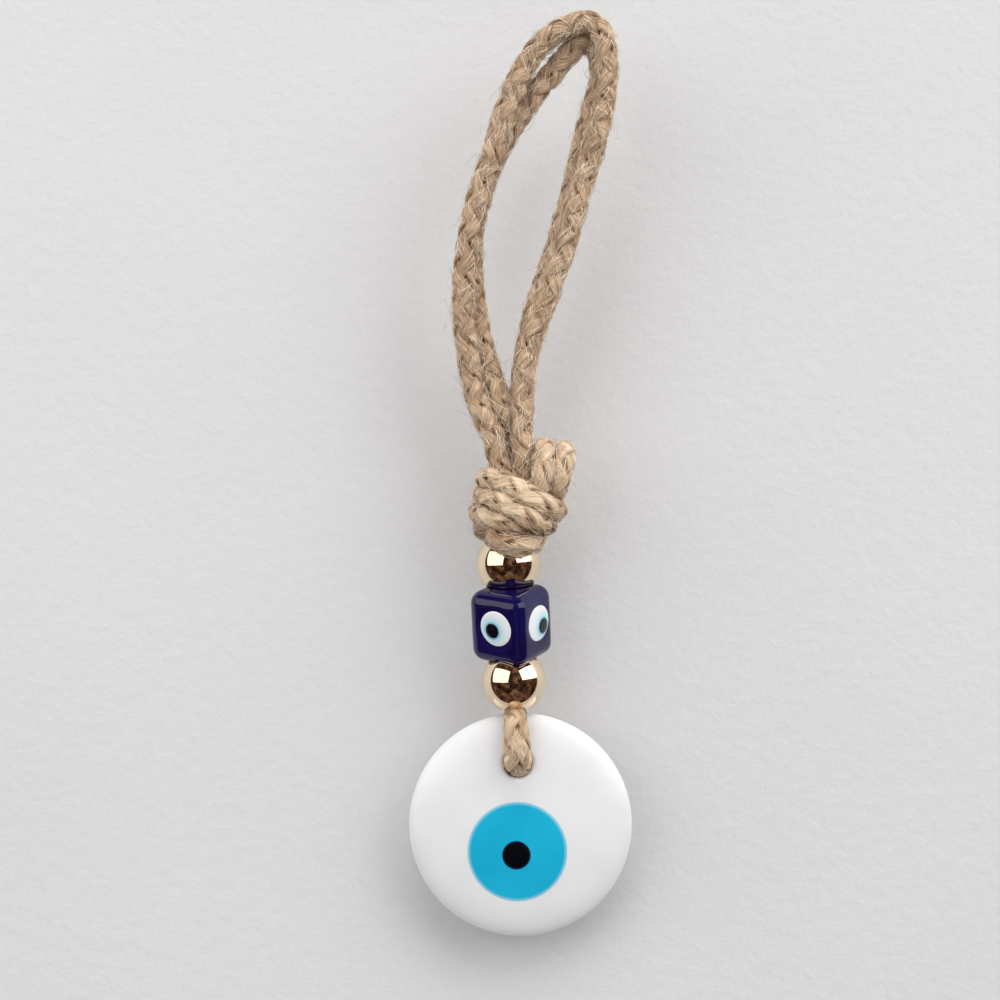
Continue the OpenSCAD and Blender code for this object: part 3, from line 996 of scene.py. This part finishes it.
def add_cube():
    """The navy block: rounded, crowned, dished at its ends and bored along the string."""
    bm = bmesh.new()
    bmesh.ops.create_cube(bm, size=1)
    bmesh.ops.subdivide_edges(bm, edges=bm.edges[:], cuts=CUBE_CELLS, use_grid_fill=True)
    p = np.array([v.co for v in bm.verts]) * (CUBE_W, CUBE_W, CUBE_H)
    for v, q in zip(bm.verts, dish(cube_to_row(pillow(p)))):
        v.co = q
    made = from_bmesh("cube_glass", bm)
    made.data.materials.append(NAVY)
    tool = cutter(CUBE, BORE_R, 3 * CUBE_W)
    cut = made.modifiers.new("cut", "BOOLEAN")
    cut.operation = "DIFFERENCE"
    cut.solver = "EXACT"
    cut.object = tool
    settle(made)
    bpy.data.objects.remove(tool)
    shade_smooth(made)
    made.data.set_sharp_from_angle(angle=math.radians(35))
    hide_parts("cube_body")
    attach(made, "cube")


def dot(name, side, centre, radius, lift, dome, material, tint_from=None):
    """A round lens of glass on one side of the cube, domed and with a soft edge."""
    angles = np.linspace(0, 2 * math.pi, DOT_SIDES, endpoint=False)
    flat = [(centre[0], centre[1], 0.0)]
    for share in np.linspace(0, 1, DOT_RINGS)[1:]:
        reach = radius * share
        flat += [(centre[0] + reach * math.cos(a), centre[1] + reach * math.sin(a), share)
                 for a in angles]
    flat = np.array(flat)
    skin = pillow(np.stack([flat[:, 0], np.full(len(flat), -CUBE_W / 2), flat[:, 1]], 1))
    edge = np.sqrt(np.maximum(1 - flat[:, 2] ** 10, 0))
    skin[:, 1] -= lift * edge + dome * (1 - flat[:, 2] ** 2)
    back = skin[-DOT_SIDES:] + (0, EYE_DEEP, 0)
    points = np.vstack([skin, back, back.mean(0)])
    points = cube_to_row(turn_upright(points, math.radians(90 * side)))
    made = make_object(name, points, lens_faces(DOT_RINGS, DOT_SIDES), material)
    fix_normals(made)
    made.data.set_sharp_from_angle(angle=math.radians(50))
    if tint_from is not None:
        away = np.hypot(flat[:, 0] - tint_from[0], flat[:, 1] - tint_from[1]) / TINT_REACH
        store(made, "tint", np.append(np.clip(1.25 - away, 0, 1), np.zeros(DOT_SIDES + 1)))
    return made


def add_cube_eyes():
    """Three dots on each side: white glass, a pale blue one in it, and a black one in that."""
    for side in range(4):
        eye = np.array(EYE_PLACE[side]) * MM
        shift = np.array(PUPIL_PLACE[side]) * MM
        pupil = eye + shift
        number = str(side + 1)
        # Kind, middle, radius, lift and dome in millimetres, material, slot, middle of the tint
        parts = (
            ("white", eye, EYE_R, 0.14, 0.10, EYE_WHITE, "white_glass", pupil),
            ("iris", eye + shift * IRIS_SHARE, IRIS_R, 0.23, 0.08, PALE_BLUE, "pale_blue_glass", None),
            ("pupil", pupil, PUPIL_R, 0.30, 0.10, BLACK, "black_glass", None),
        )
        for kind, centre, radius, lift, dome, material, slot, tint in parts:
            made = dot("eye_" + kind + "_" + number, side, centre, radius, lift * MM, dome * MM,
                       material, tint)
            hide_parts("cube_eye_" + kind + "_" + number)
            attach(made, "cube")


add_cube()
add_cube_eyes()


# ---------------------------------------------------------------- disc

DISC_SIDES = 256
RIM_R = DISC_BACK
FLAT_R = DISC_R - RIM_R
FRONT_POWER = 2.6
HOLE_R = 2.5 * MM
HOLE_ROUND = 0.95 * MM
INLAY_RINGS = 30
INLAY_SIDES = 128


def face_y(away):
    """Depth of the domed front at a distance from the disc's middle, down to its widest line."""
    return DISC_FRONT * np.clip(1 - (away / DISC_R) ** FRONT_POWER, 0, 1) ** (1 / FRONT_POWER)


def disc_ring(centre, radius, depth):
    """A ring about a centre, at a depth or, where that is None, on the domed front."""
    angles = np.linspace(0, 2 * math.pi, DISC_SIDES, endpoint=False)
    x = centre.x + radius * np.cos(angles)
    z = centre.z + radius * np.sin(angles)
    away = np.hypot(x - DISC.x, z - DISC.z)
    y = face_y(away) if depth is None else np.full(DISC_SIDES, depth)
    return np.stack([x, y, z], 1)


def add_disc():
    """White glass: domed front, round rim, flat back, and a hole with rounded edges."""
    rings = []
    edge_r = HOLE_R + HOLE_ROUND
    start = math.asin((edge_r / DISC_R) ** (FRONT_POWER / 2))
    for t in np.linspace(start, math.pi / 2, 100):
        radius = DISC_R * math.sin(t) ** (2 / FRONT_POWER)
        share = (radius - edge_r) / (DISC_R - edge_r)
        rings.append(disc_ring(HOLE.lerp(DISC, share), radius, None))
    for t in np.linspace(math.pi / 2, math.pi, 20)[1:-1]:
        rings.append(disc_ring(DISC, FLAT_R + RIM_R * math.sin(t), -RIM_R * math.cos(t)))
    for share in np.linspace(1, 0, 24):
        rings.append(disc_ring(HOLE.lerp(DISC, share), edge_r + share * (FLAT_R - edge_r), RIM_R))
    for t in np.linspace(0, math.pi / 2, 10)[1:]:
        sink = HOLE_ROUND * (1 - math.cos(t))
        rings.append(disc_ring(HOLE, edge_r - HOLE_ROUND * math.sin(t), RIM_R - sink))
    for t in np.linspace(math.pi / 2, 0, 10)[:-1]:
        sink = HOLE_ROUND * (1 - math.cos(t))
        rings.append(disc_ring(HOLE, edge_r - HOLE_ROUND * math.sin(t), None) + (0, sink, 0))
    faces = ring_quads(len(rings), DISC_SIDES, wrap=True)
    made = make_object("disc_glass", np.vstack(rings), faces, WHITE)
    fix_normals(made)
    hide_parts("disc_body")
    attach(made, "disc")


def add_inlay(name, node, material, proud, deep):
    """Coloured glass let into the front, a hair above it, with a softened edge."""
    low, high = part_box(node)
    centre = (low + high) / 2
    radius = (high.x - low.x) / 2
    angles = np.linspace(0, 2 * math.pi, INLAY_SIDES, endpoint=False)
    shares = np.append(0, np.repeat(np.linspace(0, 1, INLAY_RINGS)[1:], INLAY_SIDES))
    turns = np.append(0, np.tile(angles, INLAY_RINGS - 1))
    x = centre.x + radius * shares * np.cos(turns)
    z = centre.z + radius * shares * np.sin(turns)
    y = face_y(np.hypot(x - DISC.x, z - DISC.z)) - proud * np.sqrt(np.maximum(1 - shares ** 14, 0))
    front = np.stack([x, y, z], 1)
    back = front[-INLAY_SIDES:].copy()
    back[:, 1] = DISC_FRONT + deep
    points = np.vstack([front, back, (centre.x, DISC_FRONT + deep, centre.z)])
    made = make_object(name, points, lens_faces(INLAY_RINGS, INLAY_SIDES), material)
    fix_normals(made)
    made.data.set_sharp_from_angle(angle=math.radians(50))
    store(made, "rim", np.concatenate([shares, np.ones(INLAY_SIDES), [0]]))
    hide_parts(node)
    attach(made, "disc")


add_disc()
add_inlay("disc_iris_glass", "disc_iris", BLUE, 0.025 * MM, 1.5 * MM)
add_inlay("disc_pupil_glass", "disc_pupil", BLACK, 0.05 * MM, 0.8 * MM)


# ---------------------------------------------------------------- stage and light

TABLE_Y = 9.5 * MM
TABLE_LEAN = 0.085
TABLE_HALF = 1.2


def add_table():
    """The pale surface behind the ornament, close to the disc and further from the loop."""
    low = TABLE_Y + (-TABLE_HALF - DISC.z) * TABLE_LEAN
    high = TABLE_Y + (TABLE_HALF - DISC.z) * TABLE_LEAN
    corners = [(-TABLE_HALF, low, -TABLE_HALF), (TABLE_HALF, low, -TABLE_HALF),
               (TABLE_HALF, high, TABLE_HALF), (-TABLE_HALF, high, TABLE_HALF)]
    made = make_object("table", corners, [(0, 1, 2, 3)], table_material(), smooth=False)


def add_window(name, side, up, away, width, height, power, colour):
    """A soft rectangular light aimed at the cube, by its angles aside and up from the front."""
    data = bpy.data.lights.new(name, "AREA")
    data.shape = "RECTANGLE"
    data.size = width
    data.size_y = height
    data.energy = power
    data.color = colour
    made = bpy.data.objects.new(name, data)
    a, e = math.radians(side), math.radians(up)
    reach = Vector((math.sin(a) * math.cos(e), -math.cos(a) * math.cos(e), math.sin(e))) * away
    made.location = CUBE + reach
    made.rotation_mode = "QUATERNION"
    made.rotation_quaternion = reach.to_track_quat("Z", "Y")
    made.visible_camera = False
    bpy.context.scene.collection.objects.link(made)
    return made


def add_world():
    """A dim warm room for reflections, a neutral fill for soft light, pale grey behind."""
    world = bpy.data.worlds.new("room")
    bpy.context.scene.world = world
    world.use_nodes = True
    world.node_tree.nodes.clear()
    nodes = Nodes(world.node_tree)
    spots = nodes.noise(nodes.coords(kind="Generated"), 2.0, 4, 0.62)
    colour = nodes.ramp(
        spots, (0.38, (0.012, 0.008, 0.006)), (0.5, (0.075, 0.035, 0.024)), (0.68, (0.27, 0.17, 0.12)))
    room = nodes.node("ShaderNodeBackground")
    nodes.link(colour, room.inputs["Color"])
    fill = nodes.node("ShaderNodeBackground", Color=(0.93, 0.94, 0.97, 1), Strength=0.42)
    sky = nodes.node("ShaderNodeBackground", Color=(0.72, 0.72, 0.73, 1))
    ray = nodes.node("ShaderNodeLightPath")
    shown = fill
    for kind, other in (("Is Glossy Ray", room), ("Is Camera Ray", sky)):
        mixed = nodes.node("ShaderNodeMixShader")
        nodes.link(ray.outputs[kind], mixed.inputs[0])
        nodes.link(shown.outputs[0], mixed.inputs[1])
        nodes.link(other.outputs[0], mixed.inputs[2])
        shown = mixed
    nodes.link(shown.outputs[0], nodes.node("ShaderNodeOutputWorld").inputs["Surface"])


add_table()
# Degrees aside and up, metres away, width, height, watts and colour
add_window("window_left", -50, 20, 1.0, 1.20, 0.80, 4.7, (1.0, 0.985, 0.965))
add_window("window_right", 60, 24, 1.0, 1.20, 0.70, 5.4, (1.0, 0.99, 0.975))
# The ceiling light brightens the tops, but isn't mirrored in the beads
ceiling = add_window("ceiling_light", 22, 62, 2.2, 1.90, 1.90, 34, (1.0, 0.985, 0.965))
ceiling.visible_glossy = False
add_world()
